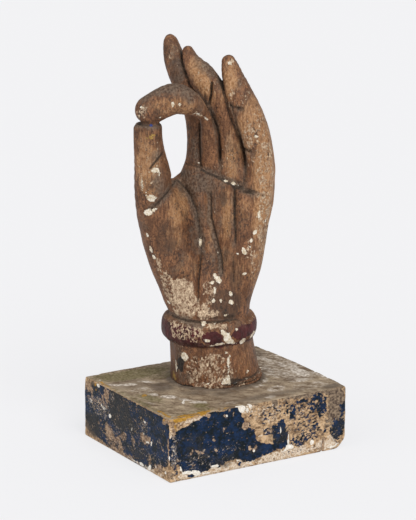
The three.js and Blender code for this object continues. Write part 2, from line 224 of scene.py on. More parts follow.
def hand_form(p):
    """Distance to the hand before its fine relief, in mm."""
    d = smooth_max(log_shape(p, WRIST_AND_PALM), p[:, 2] - PALM_END_MM, 12)
    for angle, out in WRIST_FLATS:
        a = math.radians(angle)
        flat = p[:, 0] * math.sin(a) - p[:, 1] * math.cos(a) - out
        d = np.where(p[:, 2] < STUB_TOP_MM, smooth_max(d, flat, 2), d)
    lip = STUB_LIP_HEIGHT_MM + 0.08 * (p[:, 0] - 20) - p[:, 2]
    out = np.hypot(p[:, 0], p[:, 1] / 0.98) - STUB_LIP_RADIUS_MM - 0.8 * np.clip(p[:, 0] / 20, -1, 1)
    out = out + 2.0 * noise(p, (4, 4, 2.6), 6) + 1.2 * np.exp(-((lip - 3) / 0.9)**2) * (p[:, 0] > 12)
    d = smooth_min(d, smooth_max(out, -lip, 2), 1.5)
    d = smooth_min(d, limb(p, THUMB_MOUND, 0.95), 12)
    d = smooth_min(d, egg(p, *LITTLE_FINGER_MOUND), 12)
    d = smooth_max(d, -egg(p, *PALM_HOLLOW), 14)
    fingers = smooth_min(limb(p, FIRST_FINGER, 1.1), limb(p, THIRD_FINGER, 1.08, 3.4), 1.5)
    fingers = smooth_min(fingers, limb(p, LITTLE_FINGER, 1.1, 3.2), 1.5)
    fingers = smooth_min(fingers, limb(p, SECOND_FINGER, 1.0, 3), 1.5)
    d = smooth_min(d, fingers, 6)
    thumb = smooth_max(limb(p, THUMB, 0.95, 3.2), p[:, 2] - THUMB_END_MM, 5)
    d = smooth_min(d, thumb, 4)
    d = smooth_min(d, limb(p, THUMB_WEB, 1.0), 4)
    out = np.hypot(p[:, 0] - BANGLE_ACROSS_MM, p[:, 1] / 0.96) - BANGLE_MIDLINE_MM
    up = (p[:, 2] - BANGLE_UP_MM) * 0.88
    bangle = (np.abs(out)**2.6 + np.abs(up)**2.6)**(1 / 2.6) - BANGLE_HALF_MM
    groove = 0.8 * np.exp(-((p[:, 2] - GROOVE_UP_MM) / 1.3)**2)
    return smooth_min(d + groove, bangle, 0.6)


def hand_surface(p):
    """The hand with its carved lines and tool marks, cut off under the block's top."""
    d = hand_form(p)
    for path, depth, width, reach in PALM_LINES:
        fade = unit((reach - p[:, 1]) / 4 + 0.5)
        for x, z in (path[0], path[-1]):
            fade = fade * unit(0.4 + np.hypot(p[:, 0] - x, p[:, 2] - z) / 8)
        d = d + depth * np.exp(-(from_path(p[:, 0], p[:, 2], path) / width)**2) * fade
    d = d + thumb_cut(p) + palm_step(p)
    tool_marks = TOOL_MARK_MM * noise(p, (8, 8, 24), 3)
    fibre = FIBRE_MM * noise(p, (2.8, 2.8, 14), 4)
    return np.maximum(d + HAND_INSET_MM + tool_marks + fibre, -0.8 - p[:, 2])


def net_over(field, low, high, cell):
    """Skins a solid given by its distance field: points one to a cell, joined in four-sided facets."""
    low, cell = np.array(low, float), np.array(cell, float)
    count = (np.ceil((np.array(high) - low) / cell / 4).astype(int)) * 4
    # the distance at every fourth point, filled in evenly between, and taken again only near the surface
    axes = [low[i] + cell[i] * np.arange(0, count[i] + 1, 4) for i in range(3)]
    spots = np.stack(np.meshgrid(*axes, indexing="ij"), -1)
    v = field(spots.reshape(-1, 3)).reshape(spots.shape[:3])
    for i in range(3):
        v = np.moveaxis(v, i, 0)
        t = np.arange(4).reshape(1, 4, 1, 1) / 4
        fine = (v[:-1, None] * (1 - t) + v[1:, None] * t).reshape(-1, *v.shape[1:])
        v = np.moveaxis(np.concatenate([fine, v[-1:]]), 0, i)
    band = np.argwhere(np.abs(v) < 2.6 * cell.max() + 2)
    v[tuple(band.T)] = field(low + band * cell)

    inside = v < 0
    corners = list(np.ndindex(2, 2, 2))
    part = lambda a, c: a[tuple(slice(i, n + i) for i, n in zip(c, count))]
    filled = sum(part(inside, c).astype(int) for c in corners)
    mixed = (filled > 0) & (filled < 8)
    place = np.full(mixed.shape, -1)
    place[mixed] = np.arange(mixed.sum())
    at = np.argwhere(mixed)
    total = np.zeros((len(at), 3))
    hits = np.zeros(len(at))
    for axis in range(3):
        for c in corners:
            if c[axis]:
                continue
            e = list(c)
            e[axis] = 1
            va, vb = v[tuple((at + c).T)], v[tuple((at + e).T)]
            hit = (va < 0) != (vb < 0)
            t = np.where(hit, va / np.where(hit, va - vb, 1), 0)
            point = at + np.array(c, float)
            point[:, axis] += t
            total += np.where(hit[:, None], point, 0)
            hits += hit
    points = low + total / hits[:, None] * cell

    quads = []
    for axis in range(3):
        u, w = (axis + 1) % 3, (axis + 2) % 3
        ahead = np.roll(inside, -1, axis)
        cross = np.argwhere(inside != ahead)
        keep = np.all(cross > 0, axis=1) & np.all(cross < count, axis=1)
        cross = cross[keep]
        ring = []
        for a, b in ((-1, -1), (0, -1), (0, 0), (-1, 0)):
            step = np.zeros(3, int)
            step[u], step[w] = a, b
            ring.append(place[tuple((cross + step).T)])
        ring = np.stack(ring, 1)
        outward = inside[tuple(cross.T)]
        quads.append(np.where(outward[:, None], ring, ring[:, ::-1]))
    quads = np.concatenate(quads)
    quads = quads[(quads >= 0).all(1)]

    edges = np.concatenate([quads[:, [i, (i + 1) % 4]] for i in range(4)])
    edges = np.concatenate([edges, edges[:, ::-1]])
    # three rounds of evening the points out and pulling them back on to the surface
    for _ in range(3):
        near = np.zeros_like(points)
        np.add.at(near, edges[:, 0], points[edges[:, 1]])
        near /= np.maximum(np.bincount(edges[:, 0], minlength=len(points)), 1)[:, None]
        points = points + 0.5 * (near - points)
        g = slope(field, points)
        step = np.clip(field(points) / np.maximum((g**2).sum(1), 0.3), -0.6, 0.6)
        points = points - step[:, None] * g
    return points, quads


def slope(field, p, h=0.3):
    """How a distance field changes along x, y and z: the way out of the solid."""
    return np.stack([(field(p + step) - field(p - step)) / (2 * h) for step in np.eye(3) * h], 1)


def add_object(name, data):
    """Puts a mesh, a lamp or a camera into the scene."""
    thing = bpy.data.objects.new(name, data)
    bpy.context.scene.collection.objects.link(thing)
    return thing


def place_piece(name, points, quads, turn, shift, layers):
    """Makes the Blender object in metres, with one named wear layer for each entry of layers."""
    c, s = math.cos(turn), math.sin(turn)
    world = points @ np.array([[c, s, 0], [-s, c, 0], [0, 0, 1]]) + shift
    mesh = bpy.data.meshes.new(name)
    mesh.from_pydata((world / 1000).tolist(), [], quads.tolist())
    mesh.polygons.foreach_set("use_smooth", np.ones(len(mesh.polygons), bool))
    for layer, values in layers.items():
        mesh.attributes.new(layer, "FLOAT", "POINT").data.foreach_set("value", values.astype(np.float32))
    return add_object(name, mesh)


def add_node(tree, kind, inputs=(), **settings):
    """Adds a shader node, sets its settings, and fills or links its inputs by name or number."""
    node = tree.nodes.new("ShaderNode" + kind)
    for key, value in settings.items():
        setattr(node, key, value)
    for key, value in dict(inputs).items():
        if isinstance(value, bpy.types.NodeSocket):
            tree.links.new(value, node.inputs[key])
        else:
            node.inputs[key].default_value = value
    return node


def paint(hex_colour):
    """sRGB hex to the linear colour a shader wants."""
    parts = [int(hex_colour[i:i + 2], 16) / 255 for i in (1, 3, 5)]
    return tuple(c / 12.92 if c <= 0.04045 else ((c + 0.055) / 1.055)**2.4 for c in parts) + (1.0,)


def mottles(tree, size_mm, detail=2.0):
    """Three unlike mottlings, 0 to 1 and mostly near 0.5, with patches of that size along x, y and z."""
    at = add_node(tree, "TexCoord").outputs["Object"]
    per_metre = [1000 / s for s in size_mm]
    scaled = add_node(tree, "VectorMath", {0: at, 1: per_metre}, operation="MULTIPLY").outputs[0]
    clouds = add_node(tree, "TexNoise", {"Vector": scaled, "Scale": 1.0, "Detail": detail})
    return add_node(tree, "SeparateColor", {0: clouds.outputs["Color"]}).outputs


def lay_coat(tree, below, cover, breakup, tints, tint_by, rough, thick, edge=0.12, amount=2.6, strength=1.0):
    """Lays a worn coat over the surface below, where its wear layer says and the breakup mottling lets it.

    A surface is its colour, its roughness and its height in mm. Thick is the coat's own height, edge how
    soft its rim is, amount how far the mottling breaks it up, and strength below 1 lets you see through."""
    share = add_node(tree, "Attribute", attribute_name=cover).outputs["Fac"]
    level = -1 - amount / 2
    share = add_node(tree, "Math", {0: share, 1: 2.0, 2: level}, operation="MULTIPLY_ADD").outputs[0]
    share = add_node(tree, "Math", {0: breakup, 1: amount, 2: share}, operation="MULTIPLY_ADD").outputs[0]
    there = add_node(tree, "MapRange", {0: share, 1: -edge, 2: edge, 4: strength},
                     interpolation_type="SMOOTHSTEP").outputs[0]
    blend = add_node(tree, "MapRange", {0: tint_by, 1: 0.36, 2: 0.64}).outputs[0]
    tint = add_node(tree, "Mix", {0: blend, 6: paint(tints[0]), 7: paint(tints[1])}, data_type="RGBA")
    colour = add_node(tree, "Mix", {0: there, 6: below[0], 7: tint.outputs[2]}, data_type="RGBA")
    roughness = add_node(tree, "Mix", {0: there, 2: below[1], 3: rough})
    height = add_node(tree, "Math", {0: there, 1: thick, 2: below[2]}, operation="MULTIPLY_ADD")
    return colour.outputs[2], roughness.outputs[0], height.outputs[0]


def coat_piece(piece, material, surface, coats, shine):
    """Lays the coats one over another on the bare surface and gives the piece the finished material."""
    tree = material.node_tree
    for coat in coats:
        surface = lay_coat(tree, surface, *coat)
    relief = add_node(tree, "Bump", {"Height": surface[2], "Distance": 0.001, "Strength": 0.9})
    shader = tree.nodes["Principled BSDF"]
    shader.inputs["Specular IOR Level"].default_value = shine
    tree.links.new(surface[0], shader.inputs["Base Color"])
    tree.links.new(surface[1], shader.inputs["Roughness"])
    tree.links.new(relief.outputs[0], shader.inputs["Normal"])
    piece.data.materials.append(material)


def cover(a, b, ovals, soft, wander=0.0):
    """Share of the surface that a coat takes up, from ovals: centre, half sizes, share, turn in degrees."""
    out = np.zeros(len(a))
    for at_a, at_b, half_a, half_b, share, *turn in ovals:
        angle = math.radians(turn[0]) if turn else 0
        c, s = math.cos(angle), math.sin(angle)
        u, v = (a - at_a) * c + (b - at_b) * s, (b - at_b) * c - (a - at_a) * s
        inside = (1 - np.hypot(u / half_a, v / half_b)) * min(half_a, half_b) + wander
        out = np.maximum(out, share * unit(0.5 + inside / soft))
    return out


# Wear of the palm side, each in x and z: centre, half sizes, share of the surface it takes, and where it
# leans, its turn in degrees.
PALE_WOOD = [
    (-60, 222, 13, 36, 0.6), (-33, 178, 10, 22, 0.62), (-36, 150, 10, 20, 0.45), (-4, 160, 3, 30, 0.7, 4),
    (13, 168, 6, 30, 0.72), (-24, 118, 12, 16, 0.42), (22, 112, 12, 22, 0.36), (31, 176, 8, 20, 0.45),
    (49, 190, 12, 80, 0.7), (44, 110, 12, 40, 0.5), (33, 255, 13, 40, 0.58, -14), (14, 300, 8, 18, 0.75),
    (-14, 300, 9, 22, 0.75, 30), (16, 226, 7, 26, 0.7), (-44, 322, 6, 12, 0.4), (-6, 245, 4, 14, 0.3),
    (12, 130, 7, 14, 0.5), (-2, 128, 6, 12, 0.35), (31, 24, 9, 16, 0.35), (2, 36, 14, 5, 0.3),
    (7, 285, 5, 16, 0.5, 8),
]
GESSO = [
    (-29, 98, 12, 12, 0.78), (-27, 82, 16, 17, 0.62), (-44, 98, 9, 20, 0.52, 10), (-4, 93, 8, 18, 0.43),
    (-8, 75, 9, 9, 0.6), (2, 74, 10, 5, 0.62, 10), (33, 62, 12, 4, 0.5, 12), (-30, 50, 22, 9, 0.66),
    (-52, 122, 6, 16, 0.45, 12), (-60, 148, 5, 20, 0.3, 6), (50, 185, 11, 78, 0.46),
    (42, 112, 9, 40, 0.36, 8), (40, 250, 13, 38, 0.41, -16), (24, 288, 12, 26, 0.36, -30),
    (-42, 315, 8, 18, 0.32), (12, 235, 9, 34, 0.3, 8), (-66, 205, 4, 26, 0.42), (-56, 225, 10, 34, 0.34),
    (-6, 300, 14, 16, 0.34, 40), (-24, 56, 20, 7, 0.82), (-36, 58, 12, 7, 0.82), (8, 64, 10, 3, 0.85, -4),
    (-2, 16, 26, 22, 0.47), (2, 8, 20, 5, 0.5), (-6, 24, 14, 8, 0.5), (-31, 36, 4, 8, 0.4),
    (32, 4, 14, 4, 0.5, 8), (38, 133, 7, 22, 0.45), (14, 315, 5, 5, 0.5), (-58, 240, 12, 18, 0.3),
    (12, 218, 9, 14, 0.32),
]
GESSO_ON_ARCH = [(-44, 283, 26, 14, 0.22), (-12, 270, 8, 4, 0.5, -30), (-64, 276, 8, 9, 0.46)]
# dust and grease in the valleys, and painted shade in the band along the bangle's lower edge (the row at z
# 43)
DIRT_AND_SHADE = [
    (-15, 200, 22, 12, 0.8), (-24, 190, 8, 12, 0.8, 40), (-15, 165, 6, 34, 0.75), (-12, 130, 4, 14, 0.5),
    (0, 178, 3.5, 16, 0.8, -3), (2, 143, 3.2, 22, 0.85, -11), (7, 118, 3, 14, 0.85, -4),
    (20, 168, 2.6, 26, 0.8), (34, 192, 9, 3.5, 0.85, -14), (8, 200, 10, 4, 0.85, -14),
    (-49, 188, 12, 3.5, 0.85, 40), (28, 200, 5, 9, 0.7), (-49, 204, 7, 16, 0.75), (-50, 235, 6, 4, 0.7, 55),
    (-58, 262, 12, 3, 0.75), (-42, 312, 8, 16, 0.4), (-36, 128, 12, 20, 0.3), (-32, 25, 3.2, 20, 0.95),
    (22, 8, 6, 5, 0.9), (-20, 225, 7, 28, 0.66), (-26, 66, 20, 2.4, 0.7, 4), (22, 62, 7, 4, 0.7, 8),
    (12, 236, 5, 10, 0.55), (-8, 310, 12, 5, 0.75, -40), (-37, 303, 6, 12, 0.5), (22, 273, 5, 2.4, 0.85),
    (32, 233, 6, 2.4, 0.85), (4, 297, 5, 10, 0.6, 30), (-43, 38, 4, 6, 0.7), (0, 43, 42, 2, 0.6),
    (-25, 10, 10, 6, 0.5), (-65, 160, 5, 14, 0.5), (29, 285, 3, 12, 0.4, 30), (45, 140, 2, 6, 0.3),
]
DIRT_ON_ARCH = [
    (-48, 297, 30, 6, 0.7, 3), (-20, 290, 12, 6, 0.75, -42), (-60, 279, 4, 2.4, 0.8),
    (-66, 290, 8, 6, 0.6, 30), (-35, 272, 4, 2, 0.5), (-10, 275, 6, 3, 0.6, -42),
]
MAROON = [
    (2, 52, 10, 7, 1), (7, 44, 7, 4, 1), (31, 55, 12, 7, 1, 4), (-26, 45, 26, 4.4, 0.95, -4),
    (-49, 55, 9, 14, 0.9), (-28, 54, 20, 12, 0.5), (44, 54, 8, 14, 0.8), (26, 44, 16, 3, 0.8),
]
CHIPS = [
    (-62, 175.4, 4.6, 4, 1), (-56.5, 177.6, 3.3, 1.1, 0.8, 20), (-62.3, 152, 1.4, 3, 1, 8),
    (-59.5, 137, 2.2, 5, 1, 8), (-57, 129, 1.9, 3, 0.95, 30), (-13, 142, 1.2, 3, 1),
    (0.6, 173, 1.5, 2.1, 1, 20), (4.6, 131, 1.4, 1.4, 1), (5.8, 107, 2.5, 3, 0.9),
    (2.4, 111, 1.1, 1.8, 1, 20), (0, 104, 2.1, 1.1, 0.8), (2.5, 96, 1.1, 2.8, 0.75), (1, 86, 2.1, 2.3, 0.8),
    (-2.5, 80, 2, 1.6, 0.75), (17.6, 94.5, 1.1, 2.8, 1), (18, 84.5, 2.1, 1.5, 1, -20), (8.6, 87, 1, 2, 0.9),
    (31, 136, 1, 2.4, 1, 20), (24, 134, 1.2, 1.2, 1), (37, 129, 1.1, 2.3, 1, -30), (36, 122, 1.5, 1, 1, 30),
    (33, 113, 2, 0.8, 1, 10), (40, 154, 0.9, 1.2, 1), (38, 147, 0.8, 1.1, 1), (41, 143, 1.1, 0.9, 1),
    (36, 140, 0.8, 0.8, 0.9), (40, 118, 1.2, 1, 1, 40), (44, 171, 1.6, 3.4, 0.8, 10),
    (50, 163, 0.9, 2.3, 0.9), (-45, 82, 3.8, 1.1, 0.9, -35), (10, 71, 2.8, 0.9, 1, 30),
    (-7, 66, 2.1, 1.5, 0.9), (10.5, 201.5, 2.5, 1.1, 1, -10), (17, 199.6, 2.6, 0.9, 1, -8),
    (-15.5, 218, 1.6, 2.1, 0.9, 20), (-53, 218, 4.6, 2.8, 0.9, 15), (-49.5, 213, 1.1, 3, 0.8, -20),
    (-57, 190, 5, 3.4, 0.75), (-66, 206, 0.7, 6.6, 0.62), (-62, 196, 0.9, 4.1, 0.6),
    (13.6, 314.5, 2.1, 2, 1), (33, 262, 1.3, 1.1, 1), (-52, 250, 2.5, 1, 0.7, 30),
    (-26, 31, 4, 3.2, 1, -30), (-2.5, 50, 3.3, 1.6, 1), (1.5, 44.4, 2.1, 0.8, 1), (16, 52, 4, 6, 1, 14),
    (19.5, 47, 5, 3, 1, -30), (12, 57, 2, 3, 0.9, 20), (8, 45.6, 5, 1.2, 1, 8), (24, 59, 1.5, 1.2, 1, -20),
    (38, 48.5, 4.4, 2, 0.95, 38), (30, 45, 3, 2, 1, 20), (43, 52, 2.4, 3.4, 1, 20), (16.8, 24, 1, 15, 0.95),
    (15.8, 10, 0.9, 5, 0.8), (15, 36.5, 2.5, 1.6, 0.9, -20), (-36, 23, 0.6, 14, 0.85, 2),
    (5, 15.5, 1.6, 1.3, 0.9), (34, 13.5, 3, 0.7, 0.8, 40), (13, 6, 2.8, 1.6, 0.8), (12.5, 9.4, 1, 1, 1),
    (-5, 5.5, 3.7, 1.3, 0.7), (41, 247, 1.1, 1, 0.9), (-8.5, 255, 0.8, 0.8, 0.8), (14, 231, 0.8, 1.1, 0.8),
    (6, 280, 0.7, 2.5, 0.6, 10), (4, 66, 2.5, 1, 0.9, 10), (30, 6.6, 6, 0.6, 0.6, 12),
    (41, 7, 4, 0.6, 0.6, 8),
]
CHIPS_ON_ARCH = [
    (-43.5, 284, 1.3, 2, 0.95), (-35, 284, 1.5, 2.6, 0.85), (-28.5, 283, 1.2, 2, 0.9),
    (-13, 270.8, 1.8, 0.7, 1, -10), (-8.4, 267, 2.1, 0.7, 1, -40), (-65, 280.5, 3.3, 0.8, 0.7),
    (-47, 271, 1.1, 1, 0.8), (-38, 276, 1, 0.8, 0.7),
]
STAIN = [
    (13, 84, 15, 14, 1), (8, 73, 15, 8, 0.95), (22, 104, 8, 20, 0.6), (-44, 148, 12, 22, 0.55),
    (12, 128, 3, 18, 0.7, -8), (-38, 305, 8, 14, 0.7), (-20, 140, 14, 22, 0.4), (10, 186, 6, 10, 0.6),
]
# soot, with painted shade in the little finger's creases, at the step where the palm stops under the fingers
# and on the stub's lip
SOOT_AND_SHADE = [
    (22, 274, 5.4, 1.6, 1, -6), (33, 233, 6, 1.6, 1, -6), (24, 7.5, 5, 2.6, 0.9, 10),
    (35, 191.6, 7, 1.4, 0.8, -10), (9, 203, 4, 1, 0.8, -18), (19, 196.6, 6, 1, 0.9, -10),
    (12, 74, 1.6, 4, 0.9), (9, 80, 2, 1.6, 0.9), (16, 70, 4, 1.6, 0.7, 20), (-9, 281, 2, 6, 0.6, 8),
]
# black resin and cracks, and painted shadow under the stub's lip at lower right and along its foot
TAR_AND_SHADOW = [
    (-30.5, 21, 3.6, 7, 1, 8), (-28.5, 28, 2.4, 2.4, 1), (-34.2, 23, 0.6, 9, 0.8), (10, 34, 3, 1, 0.6, -20),
    (27, 8, 3.4, 1.4, 0.9, 10), (23, 5, 2, 1.4, 0.9), (13, 77, 1.1, 1.6, 0.8), (19.5, 44, 1, 3, 0.8, 20),
    (-20, 1, 14, 1, 0.7),
]
OCHRE = [(-56, 252, 6, 4.5, 0.55, 30), (-37.5, 5, 2.6, 4, 0.95), (-24, 95, 2, 2, 0.3)]
BLUE_DAB = [(-56, 262.8, 1.5, 1.2, 1)]
# lines of grime and painted shade, each a path in x and z, half width and share: grime in the cracks and
# carved lines, and painted shade on the right wall of the middle line, in the gaps between the fingers, at
# the step where the palm stops under the fingers, along the stub's lip and round its foot
DARK_LINES = [
    ([(-3.2, 190), (-2.6, 166), (3.6, 143), (8.5, 127), (9.6, 113)], 0.8, 1), (OUTER_LINE, 0.9, 0.9),
    (WRIST_CRACK, 0.8, 0.8), (THUMB_CREASE, 0.9, 0.8), (MOUND_LINE, 1, 0.7), (FIRST_GAP, 0.9, 0.7),
    (SECOND_GAP, 0.7, 0.5), (THIRD_GAP, 0.7, 0.5), (THIRD_CRACK, 1.1, 1),
    ([(20, 130), (20.5, 104)], 0.7, 0.7),
    ([(-13, 212.5), (-7, 209.2), (0, 207), (6, 203.6), (12, 200), (21, 197.6), (28, 196.6)], 1.1, 0.9),
    ([(-44, 237), (-50, 230), (-57, 221)], 1.1, 0.9), ([(-60, 150), (-36, 152)], 0.6, 0.5),
    ([(-66, 184), (-62, 160), (-60, 140)], 0.8, 0.5), ([(-4, 158), (-8, 150), (-12, 146)], 0.7, 0.5),
    ([(-11, 265), (-4, 262)], 1.2, 0.8), ([(-29, 216), (-14, 214.5)], 1, 0.6),
    ([(-40, 67.5), (-8, 66.5), (24, 67.5)], 0.8, 0.8), ([(14, 4), (24, 6.8), (36, 8.4), (46, 9)], 1, 1),
    ([(20, 2.4), (30, 4), (44, 4.6)], 0.7, 0.9), ([(-44, 1), (-10, 0), (46, 1)], 1.3, 0.9),
    ([(4.5, 44), (4.5, 20)], 0.5, 0.3),
]
GREY_LINES = [
    (MIDDLE_LINE, 2.6, 1), (MOUND_LINE, 4.5, 0.85), (THUMB_CREASE, 4, 0.85), (LITTLE_LINE, 3, 0.85),
    ([(-33, 205), (-14, 214), (5, 206), (27, 198)], 3.5, 0.8), (FIRST_GAP, 3, 0.5), (SECOND_GAP, 3, 0.6),
    (THIRD_GAP, 3, 0.65), ([(-20, 288), (-8, 276), (-3, 262)], 3, 0.6), ([(-48, 70), (-8, 64)], 2.6, 0.9),
]


hand_points, hand_quads = net_over(hand_surface, *HAND_REACH_MM, HAND_CELL_MM)
hand_out = slope(hand_form, hand_points)
hand_out /= np.linalg.norm(hand_out, axis=1)[:, None]
hx, hy, hz = hand_points.T
palm_side = unit(0.5 - hand_out[:, 1] * 2.2)
on_arch = (hy < -19) & (hz > 255) & ~((hx < -44) & (hz < 264))
# how shut in each point is, within 3.5 mm and within 10 mm, used below to paint shade into the hollows
hollow = 1 - hand_surface(hand_points + 3.5 * hand_out) / 3.5
deep = 1 - hand_surface(hand_points + 10 * hand_out) / 10
# how far the rims of worn patches stray, in mm
hand_wander = 1.6 * noise(hand_points, (7, 7, 9), 11)
hand_wander += 1.1 * noise(hand_points, (2.6, 2.6, 3), 12)
patchy = noise(hand_points, (22, 22, 40), 13)


def hand_cover(palm, arch=(), soft=4.0, rest=0.0, roam=1.0):
    """A wear layer of the hand: ovals on its palm side and arch, and an even share on the unseen back."""
    roam = roam * hand_wander
    front = np.where(on_arch, cover(hx, hz, arch, soft, roam), cover(hx, hz, palm, soft, roam))
    return unit(front * palm_side + rest * (1 - palm_side) * (1 + 0.8 * patchy))


def along_lines(lines):
    """A wear layer that follows lines drawn on the palm side."""
    out = [share * unit(1.5 - from_path(hx + 0.3 * hand_wander, hz, path) / width)
           for path, width, share in lines]
    return np.max(out, axis=0) * palm_side * ~on_arch


from_midline = np.hypot(hx - BANGLE_ACROSS_MM, hy / 0.96) - BANGLE_MIDLINE_MM
from_midline = np.hypot(from_midline, (hz - BANGLE_UP_MM) * 0.86)
on_bangle = (np.abs(from_midline - BANGLE_HALF_MM) < 1.35) & (hz < 63 + hand_wander)
# painted shade in the hollows: strong in narrow ones, faint in broad ones
hollow_shade = 0.8 * unit(hollow * 1.2 - 0.3) + 0.15 * unit(deep * 1.2 - 0.3)
upward = unit(hand_out[:, 2] * 1.3 - 0.35) * (hz > 225)
grey = along_lines(GREY_LINES)
# soot in the cuts together with the painted shade of the hollows, with less shade where the grey lines lie
cut_soot_and_shade = np.maximum(hollow_shade * (1 - 0.85 * grey), hand_cover(SOOT_AND_SHADE, (), 2.4))
hand_layers = {
    "pale": hand_cover(PALE_WOOD, [(-36, 281, 28, 10, 0.54)], 8, 0.45),
    "gesso": np.maximum(hand_cover(GESSO, GESSO_ON_ARCH, 6, 0.3), 0.17),
    "maroon": hand_cover(MAROON, (), 3, 0.6, 0.8) * on_bangle,
    "stain": hand_cover(STAIN, (), 6, 0.3),
    "pits": np.clip(0.3 + 0.14 * patchy + 0.14 * noise(hand_points, (8, 8, 12), 14), 0.1, 1),
    # dust and grease, with painted shade along the bangle's lower edge
    "dirt_and_shade": unit(np.maximum(hand_cover(DIRT_AND_SHADE, DIRT_ON_ARCH, 9, 0.32), grey) + 0.5 * upward),
    # soot in the cuts and cracks, with painted shade in the hollows, between the fingers and under the
    # ledges
    "soot": unit(cut_soot_and_shade + along_lines(DARK_LINES)),
    "chips": hand_cover(CHIPS, CHIPS_ON_ARCH, 1.6, 0.0, 0.9) * 0.92,
    "tar_and_shadow": hand_cover(TAR_AND_SHADOW, (), 1.6, 0, 0.7),
    "ochre": hand_cover(OCHRE, (), 4),
    "blue": hand_cover(BLUE_DAB, BLUE_DAB, 1.2, 0, 0),
}
hand = place_piece("carved_hand", hand_points, hand_quads, HAND_TURN, HAND_PLACE_MM, hand_layers)

# Dense hardwood handled and smoked for years: mid brown, matt, with fine upright grain.
wood = bpy.data.materials.new("worn_hardwood")
wood.use_nodes = True
tree = wood.node_tree
# Its pores are about 0.2 mm wide, too fine to show, and are drawn 1.3 to 2 mm wide. Its grain runs in bands
# 2 mm wide and 9 to 30 mm long, its colour drifts over 7 to 12 mm, and crumbs of gesso are 4 to 5 mm wide.
fine = mottles(tree, (2.0, 2.0, 2.6))
small = mottles(tree, (1.3, 1.3, 1.6))
mid = mottles(tree, (7, 7, 12), 3)
grain = mottles(tree, (1.8, 1.8, 9), 3)
lines = mottles(tree, (1.8, 1.8, 30), 3)
crumbs = mottles(tree, (4.2, 4.2, 5.5), 5)
flaked = add_node(tree, "Mix", {0: 0.5, 2: fine[1], 3: crumbs[0]}).outputs[0]
chalky = add_node(tree, "Mix", {0: 0.5, 2: small[0], 3: crumbs[1]}).outputs[0]
figure = add_node(tree, "Mix", {0: 0.45, 2: grain[0], 3: small[1]}).outputs[0]
dark_to_light = add_node(tree, "MapRange", {0: figure, 1: 0.4, 2: 0.6}).outputs[0]
bare = add_node(tree, "Mix", {0: dark_to_light, 6: paint("#573623"), 7: paint("#946643")}, data_type="RGBA")
patch = add_node(tree, "MapRange", {0: mid[0], 1: 0.44, 2: 0.62, 4: 0.75}).outputs[0]
bare = add_node(tree, "Mix", {0: patch, 6: bare.outputs[2], 7: paint("#5a3820")}, data_type="RGBA")
ridges = add_node(tree, "Math", {0: grain[1], 1: 0.3}, operation="MULTIPLY").outputs[0]
ridges = add_node(tree, "Math", {0: fine[2], 1: 1.3, 2: ridges}, operation="MULTIPLY_ADD").outputs[0]
# each coat: wear layer, what breaks it up, two tints and what blends them, roughness, height in mm, and
# how soft, how broken up and how strong it is
hand_coats = [
    # wood rubbed back to its paler, drier face
    ("pale", grain[2], ("#936840", "#be926a"), fine[0], 0.68, 0, 0.5, 2.4),
    # dark specks and hairlines where the old stain is still in the pores
    ("pits", fine[0], ("#36231a", "#4e3422"), mid[1], 0.6, -0.3, 0.3, 2.6, 0.9),
    ("pits", lines[0], ("#2e1e15", "#452e1f"), mid[1], 0.6, -0.3, 0.3, 2.6, 0.35),
    ("stain", mid[1], ("#3d281a", "#5e412b"), grain[1], 0.5, 0, 0.5, 1.8, 0.85),
    # crumbs and skins of chalky gesso left in the grain, cream with a little pink
    ("gesso", flaked, ("#6e4b33", "#e4cbab"), chalky, 0.85, 0.35, 0.18, 3.2),
    # the bangle's dark red distemper
    ("maroon", fine[0], ("#330d0d", "#541a1b"), mid[1], 0.6, 0.3, 0.12),
    # grey dust and grease where hands never wiped, with painted shade along the bangle's lower edge;
    # soot in the cuts, with painted shade in the hollows, between the fingers, under ledges and at the foot
    ("dirt_and_shade", mid[2], ("#42342b", "#7c6c5c"), fine[2], 0.75, 0.05, 0.9, 2.4, 0.75),
    ("soot", small[0], ("#20160f", "#443629"), fine[1], 0.8, 0, 0.8, 1.4, 0.88),
    # black resin where a fixing or an old coat has burnt on, and painted shadow under the stub's lip and at
    # its foot
    ("tar_and_shadow", small[1], ("#0e0b09", "#2a231d"), fine[1], 0.5, -0.3, 0.2, 1, 0.92),
    ("ochre", fine[1], ("#8a6a34", "#b9944a"), small[1], 0.6, 0.1, 0.2),
    ("blue", small[1], ("#27397a", "#2c4383"), fine[0], 0.6, 0.1, 0.2, 0.6),
    # thick flakes of gesso still holding
    ("chips", small[2], ("#c9b698", "#f0e7d6"), fine[0], 0.85, 0.45, 0.15, 2),
]
coat_piece(hand, wood, (bare.outputs[2], 0.6, ridges), hand_coats, 0.4)
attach(hand, "root")
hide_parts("hand")


# The block: a squared offcut of timber, sawn, gessoed and painted dark blue on its sides, bare on top.
# Its paint has rubbed off at the corners and along the foot, where chalky gesso and tan wood show.

BLOCK_MM = (207.4, 168.4, 63)
BLOCK_BOW_MM = 3.6
BLOCK_EDGE_MM = 2.4
# how far the left end, the right end and the wide face lean in
BLOCK_BATTER_MM = (0.6, 1.8, 2.4)
BLOCK_REACH_MM = [(-107, -88, -4), (107, 88, 67)]
BLOCK_CELL_MM = (1.35, 1.35, 1.35)
BLOCK_INSET_MM = 0.36
# the putty round the hand's foot, the drying crack at the right and the knocks along the edges
PUTTY_MM, CRACK_MM, KNOCK_MM = 1.8, 2.2, 2.2
CRACK_AT_MM = 75

